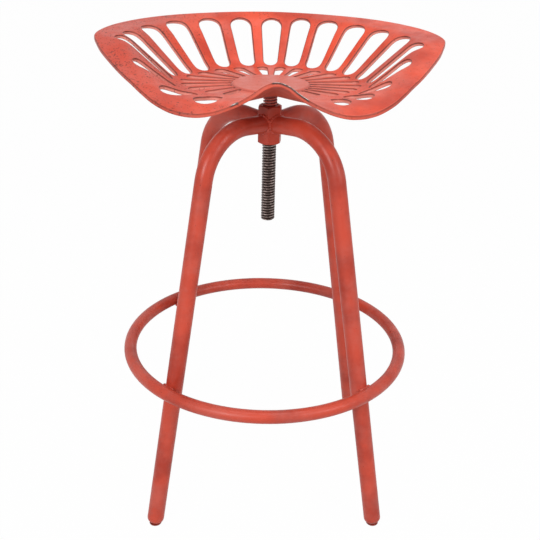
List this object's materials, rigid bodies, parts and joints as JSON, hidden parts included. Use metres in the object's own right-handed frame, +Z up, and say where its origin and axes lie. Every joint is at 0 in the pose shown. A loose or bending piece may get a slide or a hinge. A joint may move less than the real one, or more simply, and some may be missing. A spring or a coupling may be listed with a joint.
{
  "type": "swivel stool",
  "caption": "Swivel stool with a slotted cast tractor-type seat on a lifting screw, bent tube legs and a round foot rail.",
  "frame": {"origin": "on the floor, on the screw's axis", "axes": "+Z up, -Y the way the sitter faces, +X to the sitter's left"},
  "size_m": [0.4938, 0.442, 0.704],
  "materials": {
    "seat_paint": "satin, worn and speckled",
    "frame_paint": "satin, worn",
    "screw_steel": "dark brown, oiled",
    "glide_plastic": "matte"
  },
  "bodies": {
    "stand": {"hub_nut": "frame_paint", "leg_front_left": "frame_paint", "leg_front_right": "frame_paint", "leg_rear_left": "frame_paint", "leg_rear_right": "frame_paint", "hub_weld_front_left": "frame_paint", "hub_weld_front_right": "frame_paint", "hub_weld_rear_left": "frame_paint", "hub_weld_rear_right": "frame_paint", "foot_ring": "frame_paint", "ring_weld_front_left": "frame_paint", "ring_weld_front_right": "frame_paint", "ring_weld_rear_left": "frame_paint", "ring_weld_rear_right": "frame_paint", "glide_front_left": "glide_plastic", "glide_front_right": "glide_plastic", "glide_rear_left": "glide_plastic", "glide_rear_right": "glide_plastic"},
    "screw_collar": {"screw_weld": "frame_paint"},
    "seat": {"seat_pan": "seat_paint", "seat_bar": "frame_paint", "seat_bar_welds": "frame_paint", "lift_screw": "screw_steel"}
  },
  "joints": [
    {"name": "seat_lift", "type": "slide", "parent": "stand", "child": "screw_collar", "axis": [0, 0, 1], "range_m": [-0.01, 0.11]},
    {"name": "seat_turn", "type": "hinge", "parent": "screw_collar", "child": "seat", "pos_m": [0, 0, 0.578], "axis": [0, 0, 1], "range_deg": [-900, 9900]}
  ],
  "couplings": [
    {"joint": "seat_lift", "follows": "seat_turn", "m_per_rad": 0.00063662}
  ]
}
